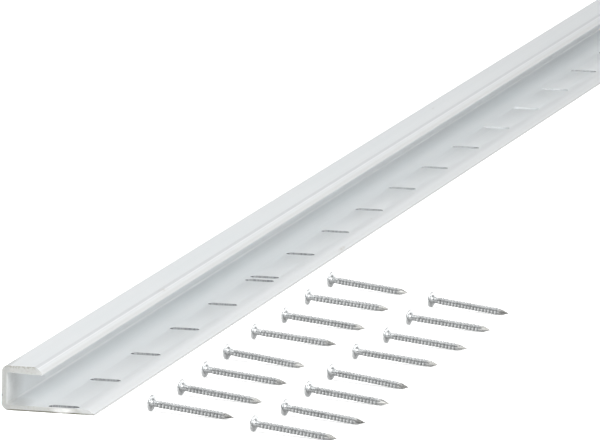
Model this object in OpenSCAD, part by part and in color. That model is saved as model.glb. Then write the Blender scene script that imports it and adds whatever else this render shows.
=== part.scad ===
// Slotted nail-on door sweep strip with its loose ring-shank nails.
// One extruded channel: an upright web, a short lip over it and a wide punched
// flange. It lies on its flange with two rows of nails laid out beside it.
// +X runs across the flange, away from the web. +Y runs along the strip.
// The origin is on the flange underside, on the slot row's centre line, at mid-length.

/* [Strip] */
// Length of the strip
strip_len = 914.4; // [600:0.1:1219.2]
// Width over the flange, from the heel to its thin edge
flange_w = 31.75; // [28:0.05:40]
// Height over the lip
height = 14.9; // [12:0.1:20]
// Width over the lip, from the heel to its tip
lip_w = 13.8; // [10:0.1:15]

/* [Wall] */
// Thickness of the upright web
web_t = 1.8; // [1.4:0.05:2.2]
// Thickness of the flange
flange_t = 1.85; // [1.4:0.05:2.2]
// Thickness of the lip beside the web
lip_t = 2.3; // [1.6:0.05:2.5]
// Depth of the lip at its rounded-off edge
lip_nose_t = 2.7; // [2.5:0.05:3.4]
// Outside radius at the heel, between web and flange
heel_r = 2.4; // [0.8:0.1:2.6]
// Outside radius at the crown, between web and lip
crown_r = 2; // [0.8:0.1:2.4]
// Radius of the two inside corners
fillet_r = 0.6; // [0.3:0.05:1.2]
// Run of the sloping edge of the flange
flange_bevel = 2.5; // [0.5:0.1:3]
// Width of the lip's rounded-off edge, which falls in three flats
lip_bevel = 2.3; // [0.5:0.1:3]
// Thickness left at the flange's sloping edge
blunt_t = 0.35; // [0.2:0.05:0.6]

/* [Slots] */
// Width of a punched slot, along the strip
slot_w = 3.97; // [2.5:0.01:4.5]
// Length of a punched slot, across the flange, over its round ends
slot_len = 10.3; // [6:0.05:11]
// Slot centre line, from the heel
slot_x = 20.6; // [17:0.1:21]
// Step from one slot to the next
slot_pitch = 50.8; // [25.4:0.1:76.2]
// First slot centre, from the near end, which leaves a sliver in front of it
first_slot = 2.5; // [2.5:0.1:25]
// Number of slots before the punch starts again
slots_before = 6; // [1:1:7]
// Gap from the last of those slots to the first of the next run
restart_gap = 7.3; // [5:0.1:40]
// Blank length kept at the far end
far_margin = 12; // [6:1:40]

/* [Nails] */
// Nail length under the head
nail_len = 30.2; // [25:0.05:38.1]
// Shank diameter between the rings
shank_d = 2.1; // [1.6:0.05:2.6]
// Diameter over the rings
ring_d = 2.5; // [2.2:0.05:3]
// Step from ring to ring
ring_pitch = 1.3; // [1:0.05:2]
// Plain shank under the head
plain_len = 2.7; // [2:0.1:6]
// Length of the diamond point
point_len = 4; // [3:0.1:6]
// Head diameter
head_d = 5.5; // [4.6:0.1:7]
// Thickness of the head at its rim
head_rim_t = 0.5; // [0.3:0.05:0.8]
// Rise of the head's crown above its rim
head_crown = 0.35; // [0.2:0.05:0.6]
// Direction of the nails' points, turned from +X towards -Y
lay_angle = 13; // [0:0.5:30]
// Step between the nails of a row
lay_step = 35.5; // [25:0.1:50]

/* [Hidden] */

vinyl = [0.93, 0.94, 0.95];
zinc = [0.72, 0.74, 0.75];
eps = 0.01;

near_y = -strip_len / 2;
second_start = first_slot + (slots_before - 1) * slot_pitch + restart_gap;
slots_after = floor((strip_len - far_margin - slot_w / 2 - second_start) / slot_pitch) + 1;

// The rings run from the plain shank to just before the point.
ring_count = floor((nail_len - plain_len - point_len) / ring_pitch);
// A nail rests on its head's rim and on the shoulder of its point.
shoulder = nail_len - 0.6 * point_len;
lay_tilt = atan((head_d - shank_d) / 2 / shoulder);
lay_z = head_d / 2 * cos(lay_tilt);

// Start of each row of eight: X across, Y along.
row_start = [[27, -447.5], [69, -473]];
// How far each nail lies off its regular place: X, Y, turn, roll about itself.
scatter = [[0, 3.5, 0.5, 10], [2, -1.5, -1, 55], [1, -2.5, 1, 30], [-0.5, -3.5, -3.5, 75],
           [-1.5, 1, 4, 20], [0.5, -0.5, 2, 65], [-1, 2, 4.5, 40], [-2, 3, -0.5, 85],
           [-1, 5, -1, 50], [1.5, 0, -3, 15], [0.5, -0.5, -2, 80], [0, -3.5, -5, 35],
           [-1.5, 1, 2, 60], [1, -1, 0.5, 5], [0, 0, 2.5, 70], [-1, 1, -2, 25]];

// What lies between a corner, its two sides along +X and +Y, and a quarter round in it:
// added to an inside corner or taken off an outside one.
module fillet(r) {
    difference() {
        translate([-eps, -eps]) square([r + eps, r + eps]);
        translate([r, r]) circle(r, $fn = 64);
    }
}

// Cross-section with the heel at X = 0 and the underside at Y = 0.
module section() {
    difference() {
        union() {
            square([web_t, height]);
            // flange, bevelled down to its thin edge
            polygon([[0, 0], [flange_w, 0], [flange_w, blunt_t],
                     [flange_w - flange_bevel, flange_t], [0, flange_t]]);
            // lip, thickest at its edge, which is rounded off in three flats
            polygon([[0, height - lip_t], [web_t + fillet_r, height - lip_t],
                     [lip_w - lip_bevel, height - lip_nose_t],
                     [lip_w, height - lip_nose_t],
                     [lip_w - 0.22 * lip_bevel, height - 0.57 * lip_nose_t],
                     [lip_w - 0.65 * lip_bevel, height - 0.2 * lip_nose_t],
                     [lip_w - lip_bevel, height], [0, height]]);
            // inside corners
            translate([web_t, flange_t]) fillet(fillet_r);
            translate([web_t, height - lip_t]) mirror([0, 1]) fillet(fillet_r);
        }
        // the round heel and the round crown
        fillet(heel_r);
        translate([0, height]) mirror([0, 1]) fillet(crown_r);
    }
}

// One punched slot through the flange, centred on its own origin, running along X.
module slot() {
    straight = slot_len - slot_w;
    translate([-straight / 2, -slot_w / 2, -1]) cube([straight, slot_w, flange_t + 2]);
    for (side = [-1, 1])
        translate([side * straight / 2, 0, -1])
            cylinder(h = flange_t + 2, d = slot_w, $fn = 64);
}

module channel_strip() {
    color(vinyl)
    difference() {
        translate([-slot_x, -near_y, 0]) rotate([90, 0, 0])
            linear_extrude(height = strip_len) section();
        for (i = [0 : slots_before - 1])
            translate([0, near_y + first_slot + i * slot_pitch, 0]) slot();
        for (i = [0 : slots_after - 1])
            translate([0, near_y + second_start + i * slot_pitch, 0]) slot();
    }
}

// Shank outline, radius against distance below the head; each ring is steep
// towards the head and slopes away towards the point.
function ring_outline() = [
    for (i = [0 : ring_count - 1])
        let (d = plain_len + i * ring_pitch)
        each [[shank_d / 2, -d], [ring_d / 2, -d - 0.2],
              [shank_d / 2, -d - ring_pitch + 0.3]]
];

module shank() {
    rotate_extrude($fn = 48)
        polygon(concat([[0, 0.2], [head_d * 0.3, 0.2], [head_d * 0.3, 0], [shank_d / 2, -0.7]],
                       ring_outline(),
                       [[shank_d / 2, -nail_len], [0, -nail_len]]));
}

// Wedge that keeps the shank above it and narrows to an edge at the point.
module wedge() {
    half = shank_d / 2 + 0.12;
    rotate([90, 0, 0])
        linear_extrude(height = 4 * head_d, center = true)
            polygon([[-2 * head_d, 2], [-2 * head_d, -nail_len + point_len + 4],
                     [-half - 0.45, -nail_len + point_len + 4],
                     [-half, -nail_len + point_len],
                     [-0.06, -nail_len], [0.06, -nail_len],
                     [half, -nail_len + point_len],
                     [half + 0.45, -nail_len + point_len + 4],
                     [2 * head_d, -nail_len + point_len + 4], [2 * head_d, 2]]);
}

// Round head with a low crown, its underside at Z = 0.
module head() {
    ball_r = (pow(head_d / 2, 2) + pow(head_crown, 2)) / (2 * head_crown);
    intersection() {
        cylinder(h = head_rim_t + head_crown + 1, d = head_d, $fn = 64);
        translate([0, 0, head_rim_t + head_crown - ball_r]) sphere(ball_r, $fn = 96);
    }
}

// A nail standing point down, with the underside of its head at Z = 0.
module nail() {
    head();
    intersection() {
        shank();
        wedge();
        rotate([0, 0, 90]) wedge();
    }
}

// Nail number i, lying in its place beside the strip.
module laid_nail(i) {
    row = floor(i / 8);
    off = scatter[i];
    color(zinc)
    translate([row_start[row][0] + off[0],
               row_start[row][1] + (i % 8) * lay_step + off[1], lay_z])
        rotate([0, 0, -lay_angle + off[2]])
            rotate([0, lay_tilt - 90, 0])
                rotate([0, 0, off[3]])
                    nail();
}

channel_strip();
laid_nail(0);  // nail_01
laid_nail(1);  // nail_02
laid_nail(2);  // nail_03
laid_nail(3);  // nail_04
laid_nail(4);  // nail_05
laid_nail(5);  // nail_06
laid_nail(6);  // nail_07
laid_nail(7);  // nail_08
laid_nail(8);  // nail_09
laid_nail(9);  // nail_10
laid_nail(10);  // nail_11
laid_nail(11);  // nail_12
laid_nail(12);  // nail_13
laid_nail(13);  // nail_14
laid_nail(14);  // nail_15
laid_nail(15);  // nail_16
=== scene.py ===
import math

import bmesh
import bpy
from mathutils import Matrix, Vector, noise


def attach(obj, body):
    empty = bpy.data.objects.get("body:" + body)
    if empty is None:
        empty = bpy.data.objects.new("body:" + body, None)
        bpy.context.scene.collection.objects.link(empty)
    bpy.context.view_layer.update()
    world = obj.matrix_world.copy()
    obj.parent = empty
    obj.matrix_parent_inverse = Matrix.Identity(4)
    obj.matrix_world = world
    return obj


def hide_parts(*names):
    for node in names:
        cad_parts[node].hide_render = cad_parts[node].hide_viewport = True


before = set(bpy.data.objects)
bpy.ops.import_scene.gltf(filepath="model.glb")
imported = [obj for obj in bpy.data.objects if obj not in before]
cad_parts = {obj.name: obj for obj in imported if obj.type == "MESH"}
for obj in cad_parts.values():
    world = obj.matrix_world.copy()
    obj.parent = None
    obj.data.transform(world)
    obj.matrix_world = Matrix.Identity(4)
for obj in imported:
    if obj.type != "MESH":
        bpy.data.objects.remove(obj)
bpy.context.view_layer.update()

MM = 0.001

# ---------------------------------------------------------------- sizes, mm
STRIP_LEN = 914.4
FLANGE_W, HEIGHT, LIP_W = 31.75, 14.9, 13.8
WEB_T, FLANGE_T, LIP_T, NOSE_T = 1.8, 1.85, 2.3, 2.7
HEEL_R, CROWN_R, FILLET_R = 2.4, 2.0, 0.6
FLANGE_BEVEL, LIP_BEVEL, BLUNT = 2.5, 2.3, 0.35
SLOT_W, SLOT_LEN, SLOT_X, SLOT_PITCH = 3.97, 10.3, 20.6, 50.8
FIRST_SLOT, SLOTS_BEFORE, RESTART_GAP, FAR_MARGIN = 2.5, 6, 7.3, 12.0

NAIL_LEN, SHANK_D, RING_D, RING_PITCH = 30.2, 2.1, 2.5, 1.3
PLAIN_LEN, POINT_LEN, HEAD_D, HEAD_RIM_T, HEAD_CROWN = 2.7, 4.0, 5.5, 0.5, 0.35
LAY_ANGLE, LAY_STEP = 13.0, 35.5
ROW_START = [(27.0, -447.5), (69.0, -473.0)]
SCATTER = [(0, 3.5, 0.5, 10), (2, -1.5, -1, 55), (1, -2.5, 1, 30), (-0.5, -3.5, -3.5, 75),
           (-1.5, 1, 4, 20), (0.5, -0.5, 2, 65), (-1, 2, 4.5, 40), (-2, 3, -0.5, 85),
           (-1, 5, -1, 50), (1.5, 0, -3, 15), (0.5, -0.5, -2, 80), (0, -3.5, -5, 35),
           (-1.5, 1, 2, 60), (1, -1, 0.5, 5), (0, 0, 2.5, 70), (-1, 1, -2, 25)]

NEAR_Y = -STRIP_LEN / 2


def slot_centres():
    ys = [NEAR_Y + FIRST_SLOT + i * SLOT_PITCH for i in range(SLOTS_BEFORE)]
    start = FIRST_SLOT + (SLOTS_BEFORE - 1) * SLOT_PITCH + RESTART_GAP
    after = int((STRIP_LEN - FAR_MARGIN - SLOT_W / 2 - start) // SLOT_PITCH) + 1
    return ys + [NEAR_Y + start + i * SLOT_PITCH for i in range(after)]


# ------------------------------------------------------------------ camera
def add_camera():
    cam = bpy.data.cameras.new("camera")
    cam.sensor_fit = "HORIZONTAL"
    cam.sensor_width = 36.0
    cam.lens = 605.84
    cam.clip_start, cam.clip_end = 0.1, 60.0
    ob = bpy.data.objects.new("camera", cam)
    bpy.context.scene.collection.objects.link(ob)
    yaw, pitch, roll = [math.radians(a) for a in (-14.20499, 9.53341, 0.87602)]
    fwd = Vector((math.sin(yaw) * math.cos(pitch), math.cos(yaw) * math.cos(pitch), -math.sin(pitch)))
    right = Vector((math.cos(yaw), -math.sin(yaw), 0.0))
    up = right.cross(fwd)
    r = right * math.cos(roll) + up * math.sin(roll)
    u = up * math.cos(roll) - right * math.sin(roll)
    m = Matrix((r, u, -fwd)).transposed().to_4x4()
    m.translation = Vector((0.870809, -3.584128, 0.610333))
    ob.matrix_world = m
    bpy.context.scene.camera = ob


# --------------------------------------------------------------- materials
class Nodes:
    """Small helper that keeps the node building below short."""

    def __init__(self, name):
        self.mat = bpy.data.materials.new(name)
        self.mat.use_nodes = True
        self.t = self.mat.node_tree
        self.t.nodes.clear()
        self.out = self.t.nodes.new("ShaderNodeOutputMaterial")
        self.bsdf = self.t.nodes.new("ShaderNodeBsdfPrincipled")
        self.link(self.bsdf.outputs[0], self.out.inputs[0])

    def link(self, a, b):
        self.t.links.new(a, b)

    def node(self, kind, **settings):
        n = self.t.nodes.new(kind)
        for k, v in settings.items():
            setattr(n, k, v)
        return n

    def math(self, op, a, b=None, clamp=False):
        n = self.node("ShaderNodeMath", operation=op, use_clamp=clamp)
        for i, v in enumerate((a, b)):
            if v is None:
                continue
            if isinstance(v, (int, float)):
                n.inputs[i].default_value = v
            else:
                self.link(v, n.inputs[i])
        return n.outputs[0]

    def ramp(self, value, low, high, out_low=0.0, out_high=1.0):
        n = self.node("ShaderNodeMapRange")
        n.clamp = True
        self.link(value, n.inputs[0])
        for i, v in enumerate((low, high, out_low, out_high)):
            n.inputs[i + 1].default_value = v
        return n.outputs[0]

    def coords(self, scale=(1, 1, 1), shift=(0, 0, 0)):
        if not hasattr(self, "_tc"):
            self._tc = self.node("ShaderNodeTexCoord")
        m = self.node("ShaderNodeMapping")
        m.inputs["Scale"].default_value = scale
        m.inputs["Location"].default_value = shift
        self.link(self._tc.outputs["Object"], m.inputs[0])
        return m.outputs[0]

    def noise(self, vector, scale=1.0, detail=3.0, rough=0.5):
        n = self.node("ShaderNodeTexNoise")
        n.inputs["Scale"].default_value = scale
        n.inputs["Detail"].default_value = detail
        n.inputs["Roughness"].default_value = rough
        self.link(vector, n.inputs["Vector"])
        return n.outputs[0]

    def mix(self, fac, a, b):
        n = self.node("ShaderNodeMix", data_type="RGBA")
        if isinstance(fac, (int, float)):
            n.inputs[0].default_value = fac
        else:
            self.link(fac, n.inputs[0])
        for i, v in ((6, a), (7, b)):
            if isinstance(v, tuple):
                n.inputs[i].default_value = (*v, 1.0)
            else:
                self.link(v, n.inputs[i])
        return n.outputs[2]

    def attr(self, name):
        return self.node("ShaderNodeAttribute", attribute_name=name).outputs["Fac"]

    def spot(self, centre, radii, turn=0.0):
        """1 inside an ellipsoid (mm), falling to 0 at its edge."""
        m = self.node("ShaderNodeMapping", vector_type="TEXTURE")
        m.inputs["Location"].default_value = [c * MM for c in centre]
        m.inputs["Rotation"].default_value = (0, 0, turn)
        m.inputs["Scale"].default_value = [r * MM for r in radii]
        if not hasattr(self, "_tc"):
            self._tc = self.node("ShaderNodeTexCoord")
        self.link(self._tc.outputs["Object"], m.inputs[0])
        n = self.node("ShaderNodeVectorMath", operation="LENGTH")
        self.link(m.outputs[0], n.inputs[0])
        return self.ramp(n.outputs["Value"], 0.45, 1.0, 1.0, 0.0)

    def axis(self, name):
        if not hasattr(self, "_xyz"):
            self._xyz = self.node("ShaderNodeSeparateXYZ")
            self.coords()
            self.link(self._tc.outputs["Object"], self._xyz.inputs[0])
        return self._xyz.outputs[name]

    def along(self, centre, radius):
        """1 on a line that runs along Y through centre (x, z in mm), 0 beyond radius."""
        dx = self.math("SUBTRACT", self.axis("X"), centre[0] * MM)
        dz = self.math("SUBTRACT", self.axis("Z"), centre[1] * MM)
        square = self.math("ADD", self.math("MULTIPLY", dx, dx), self.math("MULTIPLY", dz, dz))
        return self.ramp(self.math("SQRT", square), 0.3 * radius * MM, radius * MM, 1.0, 0.0)

    def bump(self, height, strength, distance, normal=None):
        n = self.node("ShaderNodeBump")
        n.inputs["Strength"].default_value = strength
        n.inputs["Distance"].default_value = distance
        self.link(height, n.inputs["Height"])
        if normal is not None:
            self.link(normal, n.inputs["Normal"])
        return n.outputs[0]


def vinyl_material():
    n = Nodes("rigid_vinyl")
    b = n.bsdf
    # die lines: fine across the strip, long along it
    die = n.noise(n.coords((2600, 5, 2600)), detail=4.0, rough=0.65)
    broad = n.noise(n.coords((240, 2.2, 240)), detail=2.0)
    peel = n.noise(n.coords((900, 620, 900)), detail=2.0)
    cloud = n.noise(n.coords((38, 9, 38)), detail=2.0)
    # noise that breaks up both the real scuffs and the painted shade near the ends
    grime_and_shade_noise = n.noise(n.coords((420, 260, 420), (3, 1, 7)), detail=6.0, rough=0.7)
    speck = n.noise(n.coords((1100, 700, 1100), (5, 2, 1)), detail=4.0, rough=0.6)

    tone = n.mix(n.ramp(cloud, 0.35, 0.65), (0.735, 0.764, 0.774), (0.756, 0.775, 0.784))
    tone = n.mix(n.ramp(die, 0.3, 0.7, 0.0, 0.35), tone, (0.716, 0.744, 0.754))
    tone = n.mix(n.ramp(broad, 0.42, 0.62, 0.0, 0.3), tone, (0.775, 0.793, 0.800))
    # micro-rounded edges round the sawn ends are painted whiter, a painted highlight
    tone = n.mix(n.math("MULTIPLY", n.attr("edge"), 0.55), tone, (0.815, 0.825, 0.830))
    # sawn ends: duller and warmer, with dirt smeared on, and a painted contact shadow along the lower edge
    cut = n.attr("sawn")
    tone = n.mix(n.math("MULTIPLY", cut, 0.9), tone, (0.500, 0.505, 0.485))
    tone = n.mix(n.math("MULTIPLY", cut, n.ramp(speck, 0.50, 0.70, 0.0, 0.45)), tone, (0.360, 0.350, 0.300))
    up = n.axis("Z")
    contact_shadow_band = n.ramp(up, 0.28 * MM, 0.52 * MM, 1.0, 0.0)
    # painted contact shadow: near-black over the lowest half millimetre of the sawn end
    tone = n.mix(n.math("MULTIPLY", n.math("MULTIPLY", cut, contact_shadow_band), n.ramp(grime_and_shade_noise, 0.3, 0.6, 0.8, 1.0)),
                 tone, (0.100, 0.095, 0.055))
    burr = n.math("MULTIPLY", n.ramp(up, 13.9 * MM, 14.5 * MM), n.ramp(speck, 0.44, 0.54))
    tone = n.mix(n.math("MULTIPLY", n.math("MULTIPLY", cut, burr), 0.75), tone, (0.300, 0.285, 0.240))
    # punched walls: painted shade, darkest in a band below the top rim and round the slot ends
    wall = n.attr("punched")
    shear_and_shade_noise = n.noise(n.coords((2400, 2400, 260)), detail=3.0)
    across = n.math("ABSOLUTE", n.axis("X"))
    band = n.ramp(up, (FLANGE_T - 1.05) * MM, (FLANGE_T - 0.75) * MM)
    ends = n.ramp(across, 3.9 * MM, 4.6 * MM)
    band = n.math("MAXIMUM", n.math("MULTIPLY", band, 0.88), ends)
    # the painted slot shade is faded to little over the slots between about 100 and 320 mm, and is a quarter weaker
    # past the middle
    slot_shade_fade = n.ramp(n.spot((0.0, 213.0, 0.9), (9.0, 110.0, 4.0)), 0.0, 1.0, 1.0, 0.12)
    wall = n.math("MULTIPLY", n.math("MULTIPLY", wall, slot_shade_fade), n.ramp(n.axis("Y"), -0.16, 0.02, 1.0, 0.74))
    band = n.math("MULTIPLY", band, n.math("MAXIMUM", ends, n.ramp(shear_and_shade_noise, 0.3, 0.62, 1.0, 0.62)))
    tone = n.mix(n.math("MULTIPLY", wall, 0.35), tone, (0.560, 0.575, 0.585))
    tone = n.mix(n.math("MULTIPLY", wall, band), tone, (0.125, 0.130, 0.138))
    # painted shade as a faint dark line where the nose begins, and a painted highlight as a pale line along its corner
    nose_crease_shade = n.along((LIP_W - LIP_BEVEL - SLOT_X, HEIGHT), 0.32)
    nose_corner_highlight = n.along((LIP_W - 0.65 * LIP_BEVEL - SLOT_X, HEIGHT - 0.2 * NOSE_T), 0.26)
    nose = n.along((LIP_W - 0.1 * LIP_BEVEL - SLOT_X, HEIGHT - 0.8 * NOSE_T), 1.9)
    upper = n.along((LIP_W - 0.8 * LIP_BEVEL - SLOT_X, HEIGHT - 0.1 * NOSE_T), 1.2)
    # painted shade: the nose facets are painted darker
    tone = n.mix(n.math("MULTIPLY", nose, 0.75), tone, (0.570, 0.575, 0.570))
    tone = n.mix(n.math("MULTIPLY", upper, 0.75), tone, (0.548, 0.560, 0.572))
    tone = n.mix(n.math("MULTIPLY", nose_crease_shade, 0.15), tone, (0.580, 0.600, 0.615))
    tone = n.mix(n.math("MULTIPLY", nose_corner_highlight, 0.6), tone, (0.850, 0.855, 0.860))
    # painted highlight along the rounded inside corner at the foot of the web
    fillet_highlight = n.along((WEB_T + 0.18 - SLOT_X, FLANGE_T + 0.18), 0.42)
    tone = n.mix(n.math("MULTIPLY", fillet_highlight, 0.65), tone, (0.880, 0.885, 0.885))
    # painted shade: the flange is greyer towards its thin edge, over its chamfer and along its lower rim
    outer_flange_shade = n.along((FLANGE_W - FLANGE_BEVEL - 0.9 - SLOT_X, FLANGE_T), 2.6)
    tone = n.mix(n.math("MULTIPLY", outer_flange_shade, 0.5), tone, (0.660, 0.675, 0.685))
    flange_bevel_shade = n.along((FLANGE_W - 1.2 - SLOT_X, 1.05), 1.5)
    tone = n.mix(n.math("MULTIPLY", flange_bevel_shade, 0.6), tone, (0.655, 0.665, 0.665))
    # painted shade along the flange's lower rim
    flange_rim_shade = n.along((FLANGE_W - 0.05 - SLOT_X, 0.2), 0.55)
    tone = n.mix(n.math("MULTIPLY", flange_rim_shade, 0.8), tone, (0.420, 0.425, 0.415))
    # handling marks
    scuffs = [((10.2, -122, 1.0), (0.9, 7.5, 1.6), 0.05), ((-8.2, -300, 15.0), (0.9, 9.0, 1.6), -0.06),
              ((5.5, -60, 1.7), (0.35, 2.2, 0.8), 0.5), ((-15.0, 120, 15.0), (0.5, 5.0, 0.8), 0.1),
              ((-20.5, -380, 8.0), (0.8, 5.0, 0.4), 0.0)]
    for centre, radii, turn in scuffs:
        fac = n.math("MULTIPLY", n.spot(centre, radii, turn), n.ramp(grime_and_shade_noise, 0.42, 0.62, 0.0, 0.42))
        tone = n.mix(fac, tone, (0.46, 0.42, 0.37))
    # painted light: a pale patch on the sawn end at mid-flange height, under the first slot
    end_light_patch = n.math("MULTIPLY", cut, n.spot((0.0, -457.2, 1.05), (4.6, 3.0, 1.15)))
    tone = n.mix(n.math("MULTIPLY", end_light_patch, n.ramp(grime_and_shade_noise, 0.3, 0.6, 1.0, 0.6)), tone, (0.860, 0.862, 0.850))
    # painted shade inside the channel near the sawn end, on the web's inner face and on the flange by the corner
    for centre, radii in (((-18.8, -457.2, 8.0), (1.5, 22.0, 15.0)), ((-16.5, -457.2, 1.85), (6.5, 15.0, 1.2))):
        tone = n.mix(n.math("MULTIPLY", n.spot(centre, radii), n.ramp(grime_and_shade_noise, 0.3, 0.6, 0.5, 0.68)), tone, (0.42, 0.425, 0.415))
    nick = n.spot((-20.6, -457.2, 5.0), (0.45, 0.9, 0.55))
    tone = n.mix(n.math("MULTIPLY", nick, 0.9), tone, (0.060, 0.058, 0.050))
    n.link(tone, b.inputs["Base Color"])

    rough = n.math("ADD", n.ramp(die, 0.25, 0.75, 0.34, 0.48), n.math("MULTIPLY", cut, 0.24))
    rough = n.math("ADD", rough, n.math("MULTIPLY", wall, 0.25), clamp=True)
    n.link(rough, b.inputs["Roughness"])
    b.inputs["IOR"].default_value = 1.53
    b.inputs["Specular IOR Level"].default_value = 0.42
    b.inputs["Subsurface Weight"].default_value = 0.12
    b.inputs["Subsurface Radius"].default_value = (1.0, 0.95, 0.9)
    b.inputs["Subsurface Scale"].default_value = 0.0009

    saw = n.noise(n.coords((700, 1, 4200)), detail=5.0, rough=0.75)
    norm = n.bump(die, 0.16, 0.00003)
    norm = n.bump(peel, 0.10, 0.00004, norm)
    norm = n.bump(n.math("MULTIPLY", saw, cut), 0.75, 0.00018, norm)
    norm = n.bump(n.math("MULTIPLY", shear_and_shade_noise, wall), 0.6, 0.00010, norm)
    n.link(norm, b.inputs["Normal"])
    return n.mat


def zinc_material():
    n = Nodes("zinc_coated_steel")
    b = n.bsdf
    spangle = n.noise(n.coords((1300, 1300, 1300)), detail=3.0, rough=0.6)
    fine = n.noise(n.coords((5200, 5200, 5200)), detail=4.0, rough=0.7)
    dull = n.noise(n.coords((340, 340, 340), (9, 4, 2)), detail=2.0)
    crest, root, point = n.attr("crest"), n.attr("root"), n.attr("point")
    tone = n.mix(n.ramp(spangle, 0.36, 0.64), (0.66, 0.68, 0.685), (0.88, 0.90, 0.905))
    tone = n.mix(n.ramp(dull, 0.45, 0.7, 0.0, 0.5), tone, (0.46, 0.475, 0.48))
    # painted shade in the ring roots, deeper on the underside, and a painted highlight on the ring crests and head rim
    tone = n.mix(n.math("MULTIPLY", root, n.ramp(n.attr("under"), 0.15, 0.45, 0.42, 0.88)), tone, (0.17, 0.175, 0.178))
    tone = n.mix(n.math("MULTIPLY", crest, 0.6), tone, (0.88, 0.89, 0.89))
    tone = n.mix(n.math("MULTIPLY", point, 0.55), tone, (0.60, 0.570, 0.51))
    # painted shade on the side of each nail that faces the surface, with the ring crests there kept lighter
    underside_shade = n.math("MULTIPLY", n.ramp(n.attr("under"), 0.26, 0.66), n.ramp(spangle, 0.3, 0.7, 0.60, 0.86))
    tone = n.mix(underside_shade, tone, n.mix(n.attr("crest"), (0.105, 0.107, 0.106), (0.400, 0.405, 0.405)))
    n.link(tone, b.inputs["Base Color"])
    b.inputs["Metallic"].default_value = 0.77
    rough = n.math("ADD", n.ramp(spangle, 0.3, 0.7, 0.20, 0.36), n.math("MULTIPLY", root, 0.2), clamp=True)
    n.link(rough, b.inputs["Roughness"])
    norm = n.bump(spangle, 0.25, 0.00004)
    norm = n.bump(fine, 0.2, 0.00002, norm)
    n.link(norm, b.inputs["Normal"])
    return n.mat


def floor_material():
    n = Nodes("pale_floor")
    b = n.bsdf
    grain = n.noise(n.coords((60, 60, 60)), detail=3.0)
    n.link(n.mix(n.ramp(grain, 0.3, 0.7), (0.935, 0.937, 0.94), (0.95, 0.951, 0.953)), b.inputs["Base Color"])
    b.inputs["Roughness"].default_value = 0.9
    b.inputs["Specular IOR Level"].default_value = 0.0
    # a little light of its own keeps soft shadows from greying the floor
    b.inputs["Emission Color"].default_value = (1.0, 1.0, 1.0, 1.0)
    b.inputs["Emission Strength"].default_value = FLOOR_GLOW
    return n.mat


# ------------------------------------------------------------- mesh helpers
def arc(cx, cz, r, a0, a1, steps):
    return [(cx + r * math.cos(math.radians(a0 + (a1 - a0) * i / steps)),
             cz + r * math.sin(math.radians(a0 + (a1 - a0) * i / steps))) for i in range(steps + 1)]


def section_outline():
    """Outline of the extrusion, heel at x = 0 and underside at z = 0, anticlockwise."""
    p = [(FLANGE_W, 0.0), (FLANGE_W, BLUNT), (FLANGE_W - FLANGE_BEVEL, FLANGE_T)]
    p += arc(WEB_T + FILLET_R, FLANGE_T + FILLET_R, FILLET_R, 270, 180, 8)
    p += arc(WEB_T + FILLET_R, HEIGHT - LIP_T - FILLET_R, FILLET_R, 180, 90, 8)
    p += [(LIP_W - LIP_BEVEL, HEIGHT - NOSE_T), (LIP_W, HEIGHT - NOSE_T),
          (LIP_W - 0.22 * LIP_BEVEL, HEIGHT - 0.57 * NOSE_T),
          (LIP_W - 0.65 * LIP_BEVEL, HEIGHT - 0.2 * NOSE_T), (LIP_W - LIP_BEVEL, HEIGHT)]
    p += arc(CROWN_R, HEIGHT - CROWN_R, CROWN_R, 90, 180, 14)
    p += arc(HEEL_R, HEEL_R, HEEL_R, 180, 270, 14)
    return p


def extrude_outline(outline, y0, y1):
    bm = bmesh.new()
    a = [bm.verts.new((x - SLOT_X, y0, z)) for x, z in outline]
    b = [bm.verts.new((x - SLOT_X, y1, z)) for x, z in outline]
    k = len(outline)
    for i in range(k):
        j = (i + 1) % k
        bm.faces.new((a[i], b[i], b[j], a[j]))
    bm.faces.new(a)
    bm.faces.new(b[::-1])
    bmesh.ops.recalc_face_normals(bm, faces=bm.faces)
    return bm


def slot_cutters():
    bm = bmesh.new()
    r, half = SLOT_W / 2, (SLOT_LEN - SLOT_W) / 2
    for yc in slot_centres():
        ring = [(half + r * math.cos(a), r * math.sin(a))
                for a in [math.radians(-90 + 180 * i / 14) for i in range(15)]]
        ring += [(-half + r * math.cos(a), r * math.sin(a))
                 for a in [math.radians(90 + 180 * i / 14) for i in range(15)]]
        low = [bm.verts.new((x, yc + y, -1.0)) for x, y in ring]
        top = [bm.verts.new((x, yc + y, FLANGE_T + 1.0)) for x, y in ring]
        k = len(ring)
        for i in range(k):
            j = (i + 1) % k
            bm.faces.new((low[i], low[j], top[j], top[i]))
        bm.faces.new(low[::-1])
        bm.faces.new(top)
    bmesh.ops.recalc_face_normals(bm, faces=bm.faces)
    return bm


def to_object(bm, name):
    me = bpy.data.meshes.new(name)
    bm.to_mesh(me)
    bm.free()
    ob = bpy.data.objects.new(name, me)
    bpy.context.scene.collection.objects.link(ob)
    return ob


def applied(ob):
    """Bakes ob's modifiers into its mesh."""
    dg = bpy.context.evaluated_depsgraph_get()
    me = bpy.data.meshes.new_from_object(ob.evaluated_get(dg))
    ob.modifiers.clear()
    old = ob.data
    ob.data = me
    bpy.data.meshes.remove(old)


def sharpen(me, degrees):
    bm = bmesh.new()
    bm.from_mesh(me)
    for f in bm.faces:
        f.smooth = True
    limit = math.radians(degrees)
    for e in bm.edges:
        e.smooth = not (len(e.link_faces) != 2 or e.calc_face_angle(0.0) > limit)
    bm.to_mesh(me)
    bm.free()


# -------------------------------------------------------------------- strip
def near_slot(x, y, centres):
    """Signed distance in mm from the nearest slot's rim, negative inside."""
    half, r = (SLOT_LEN - SLOT_W) / 2, SLOT_W / 2
    best = 1e9
    for yc in centres:
        if abs(y - yc) > 8:
            continue
        dx = max(abs(x) - half, 0.0)
        best = min(best, math.hypot(dx, y - yc) - r)
    return best


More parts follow.
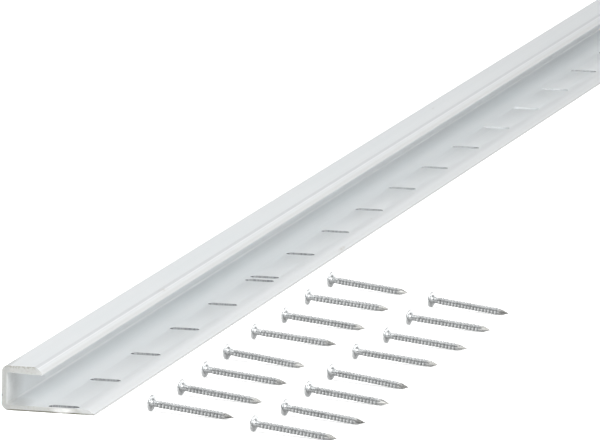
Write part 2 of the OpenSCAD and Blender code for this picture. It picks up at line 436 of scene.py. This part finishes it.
def build_strip(material):
    ob = to_object(extrude_outline(section_outline(), NEAR_Y, -NEAR_Y), "strip_extrusion")
    cut = to_object(slot_cutters(), "slot_cutter")
    m = ob.modifiers.new("slots", "BOOLEAN")
    m.operation, m.solver, m.object = "DIFFERENCE", "EXACT", cut
    applied(ob)
    bpy.data.objects.remove(cut)
    m = ob.modifiers.new("edges", "BEVEL")
    m.width, m.segments, m.limit_method, m.angle_limit = 0.13, 3, "ANGLE", math.radians(32)
    m.use_clamp_overlap = True
    applied(ob)
    me = ob.data
    centres = slot_centres()
    marks = {k: me.attributes.new(k, "FLOAT", "FACE").data for k in ("edge", "sawn", "punched")}
    for i, f in enumerate(me.polygons):
        x, y, z = f.center
        n = f.normal
        d = near_slot(x, y, centres)
        end = STRIP_LEN / 2 - abs(y)
        sawn = end < 0.02 and abs(n.y) > 0.9
        wall = abs(d) < 0.12 and abs(n.z) < 0.3 and 0.0 < z < FLANGE_T and not sawn
        rim = -0.05 < d < 0.2 and 0.3 <= n.z < 0.98
        marks["sawn"][i].value = 1.0 if sawn else 0.0
        # slot walls and their rims take painted shade in the shader
        marks["punched"][i].value = 1.0 if wall else 0.9 if rim and abs(x) < 4.3 else 0.0
        # faces of the micro-rounded edges round the ends, which the shader paints whiter as a highlight
        marks["edge"][i].value = 1.0 if 0.02 <= end < 0.2 and abs(n.y) < 0.98 and not rim else 0.0
    me.transform(Matrix.Scale(MM, 4))
    sharpen(me, 40)
    me.materials.clear()
    me.materials.append(material)
    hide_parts("channel_strip")
    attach(ob, "strip")
    return ob


# -------------------------------------------------------------------- nails
def nail_profile():
    """(radius, height above the head's underside, crest, root) down the nail, crown first."""
    ball = ((HEAD_D / 2) ** 2 + HEAD_CROWN ** 2) / (2 * HEAD_CROWN)
    top = HEAD_RIM_T + HEAD_CROWN
    p = []
    for i in range(9):
        r = (HEAD_D / 2 - 0.16) * i / 8
        p.append((max(r, 0.0), top - ball + math.sqrt(ball * ball - r * r), 0.0, 0.0))
    rim_z = p[-1][1]
    for i in range(1, 5):
        a = math.radians(90 - 90 * i / 4)
        p.append((HEAD_D / 2 - 0.16 + 0.16 * math.cos(a), rim_z - 0.16 + 0.16 * math.sin(a), 0.6, 0.0))
    for i in range(0, 4):
        a = math.radians(-90 * i / 3)
        p.append((HEAD_D / 2 - 0.13 + 0.13 * math.cos(a), 0.13 + 0.13 * math.sin(a), 0.5, 0.0))
    p.append((HEAD_D * 0.36, 0.0, 0.0, 0.1))
    for i in range(7):
        t = i / 6
        p.append((SHANK_D / 2 + (HEAD_D * 0.3 - SHANK_D / 2) * (1 - t) ** 2.2, -0.75 * t, 0.0, 0.35 * (1 - t)))
    # gripper marks on the plain shank
    d = 1.0
    while d < PLAIN_LEN - 0.35:
        p += [(SHANK_D / 2, -d, 0.0, 0.0), (SHANK_D / 2 - 0.05, -d - 0.10, 0.0, 0.7), (SHANK_D / 2, -d - 0.20, 0.2, 0.0)]
        d += 0.55
    count = int((NAIL_LEN - PLAIN_LEN - POINT_LEN) // RING_PITCH)
    for i in range(count):
        d = PLAIN_LEN + i * RING_PITCH
        p += [(SHANK_D / 2, -d, 0.0, 1.0), (SHANK_D / 2 + 0.05, -d - 0.06, 0.0, 0.5),
              (RING_D / 2, -d - 0.18, 1.0, 0.0), (RING_D / 2, -d - 0.26, 1.0, 0.0),
              (RING_D / 2 - 0.06, -d - 0.50, 0.25, 0.0), (RING_D / 2 - 0.11, -d - 0.78, 0.0, 0.3),
              (SHANK_D / 2, -d - RING_PITCH + 0.25, 0.0, 0.8)]
    start = PLAIN_LEN + count * RING_PITCH
    p.append((SHANK_D / 2, -start, 0.0, 0.4))
    steps = 26
    for i in range(1, steps + 1):
        d = NAIL_LEN - POINT_LEN + POINT_LEN * i / steps
        if d > start + 0.05:
            p.append((SHANK_D / 2, -d, 0.0, 0.0))
    return p


def build_nail(index, material):
    sides = 56
    name = "nail_%02d" % (index + 1)
    tilt = math.atan((HEAD_D - SHANK_D) / 2 / (NAIL_LEN - 0.6 * POINT_LEN))
    dx, dy, turn, roll = SCATTER[index]
    row = index // 8
    place = (Matrix.Translation((ROW_START[row][0] + dx, ROW_START[row][1] + (index % 8) * LAY_STEP + dy,
                                 HEAD_D / 2 * math.cos(tilt)))
             @ Matrix.Rotation(math.radians(-LAY_ANGLE + turn), 4, "Z")
             @ Matrix.Rotation(tilt - math.pi / 2, 4, "Y")
             @ Matrix.Rotation(math.radians(roll), 4, "Z"))
    bm = bmesh.new()
    rings, marks = [], []
    for r, z, crest, root in nail_profile():
        d = -z
        loop, near_point = [], 0.0
        for k in range(sides):
            a = 2 * math.pi * k / sides
            rr = r
            if d > PLAIN_LEN and r > SHANK_D / 2 + 0.01:
                # rolled rings: lower where the dies met, and never quite even
                rr -= 0.028 * (0.5 + 0.5 * noise.noise((index * 7.1, d * 0.9, a * 1.3)))
                rr -= 0.035 * max(0.0, 1 - abs(((a * 2 / math.pi) % 1.0) - 0.5) * 9)
            if -0.05 < z and r > HEAD_D * 0.4:
                rr -= 0.05 * (0.5 + 0.5 * noise.noise((index * 3.3, math.cos(a) * 1.4, math.sin(a) * 1.4)))
            if d > NAIL_LEN - POINT_LEN - 4:
                half = (SHANK_D / 2 + 0.12) + (0.45 / 4) * (NAIL_LEN - POINT_LEN - d)
                if d > NAIL_LEN - POINT_LEN:
                    half = 0.06 + (SHANK_D / 2 + 0.06) * (NAIL_LEN - d) / POINT_LEN
                rr = min(rr, half / max(abs(math.cos(a)), abs(math.sin(a))))
                near_point = max(0.0, (d - NAIL_LEN + POINT_LEN) / POINT_LEN + 0.35) if d > NAIL_LEN - POINT_LEN else 0.0
            loop.append(bm.verts.new((rr * math.cos(a), rr * math.sin(a), z)) if r > 1e-6 else None)
        rings.append([bm.verts.new((0, 0, z))] if r <= 1e-6 else loop)
        for k in range(len(rings[-1])):
            a = 2 * math.pi * k / sides
            up = (place.to_3x3() @ Vector((math.cos(a), math.sin(a), 0.0))).z if r > 1e-6 else 0.0
            marks.append((crest, root, min(1.0, near_point), 0.5 - 0.5 * up))
    for a, b in zip(rings, rings[1:]):
        for k in range(sides):
            j = (k + 1) % sides
            if len(a) == 1:
                bm.faces.new((a[0], b[k], b[j]))
            else:
                bm.faces.new((a[k], b[k], b[j], a[j]))
    tip = bm.verts.new((0, 0, -NAIL_LEN))
    marks.append((0.0, 0.0, 1.0, 0.5))
    for k in range(sides):
        bm.faces.new((rings[-1][k], tip, rings[-1][(k + 1) % sides]))
    bm.verts.index_update()
    bmesh.ops.recalc_face_normals(bm, faces=bm.faces)
    bmesh.ops.transform(bm, matrix=place, verts=bm.verts)
    lowest = min(v.co.z for v in bm.verts)
    if lowest < 0:
        bmesh.ops.translate(bm, vec=(0, 0, -lowest), verts=bm.verts)
    bmesh.ops.scale(bm, vec=(MM, MM, MM), verts=bm.verts)
    ob = to_object(bm, name + "_steel")
    me = ob.data
    for k, attr in enumerate(("crest", "root", "point", "under")):
        data = me.attributes.new(attr, "FLOAT", "POINT").data
        for i, m in enumerate(marks):
            data[i].value = m[k]
    sharpen(me, 30)
    me.materials.append(material)
    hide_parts(name)
    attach(ob, name)
    return ob


# ---------------------------------------------------------- floor and light
def add_floor():
    bm = bmesh.new()
    for x, y in ((-6, -6), (6, -6), (6, 6), (-6, 6)):
        bm.verts.new((x, y, -0.00004))
    bm.faces.new(bm.verts)
    ob = to_object(bm, "floor")
    ob.data.materials.append(floor_material())


def add_area(name, place, target, size, size_y, watts):
    light = bpy.data.lights.new(name, "AREA")
    light.shape, light.size, light.size_y, light.energy = "RECTANGLE", size, size_y, watts
    ob = bpy.data.objects.new(name, light)
    bpy.context.scene.collection.objects.link(ob)
    ob.location = place
    ob.rotation_euler = (Vector(target) - Vector(place)).to_track_quat("-Z", "Y").to_euler()


LIGHTS = [("front_right_box", (2.08, -2.30, 2.40), 3.2, 2.6, 112.6),
          ("low_right_box", (3.52, -1.18, 1.44), 2.6, 1.6, 34.6),
          ("top_box", (0.16, 0.58, 3.52), 3.8, 4.2, 35.8),
          ("left_box", (-2.88, 0.52, 2.40), 2.6, 3.2, 63.2),
          ("back_box", (-0.90, 3.20, 0.95), 5.0, 1.7, 13.0)]
WORLD_STRENGTH = 0.15
FLOOR_GLOW = 0.5


def add_light():
    world = bpy.data.worlds.new("studio")
    bpy.context.scene.world = world
    world.use_nodes = True
    bg = world.node_tree.nodes["Background"]
    bg.inputs[0].default_value = (0.975, 0.988, 1.0, 1.0)
    bg.inputs[1].default_value = WORLD_STRENGTH
    for name, place, size, size_y, watts in LIGHTS:
        add_area(name, place, (0.0, -0.1, 0.0), size, size_y, watts)


add_camera()
vinyl, zinc = vinyl_material(), zinc_material()
build_strip(vinyl)
for i in range(16):
    build_nail(i, zinc)
add_floor()
add_light()
bpy.context.scene.view_settings.view_transform = "Standard"
bpy.context.scene.view_settings.look = "None"
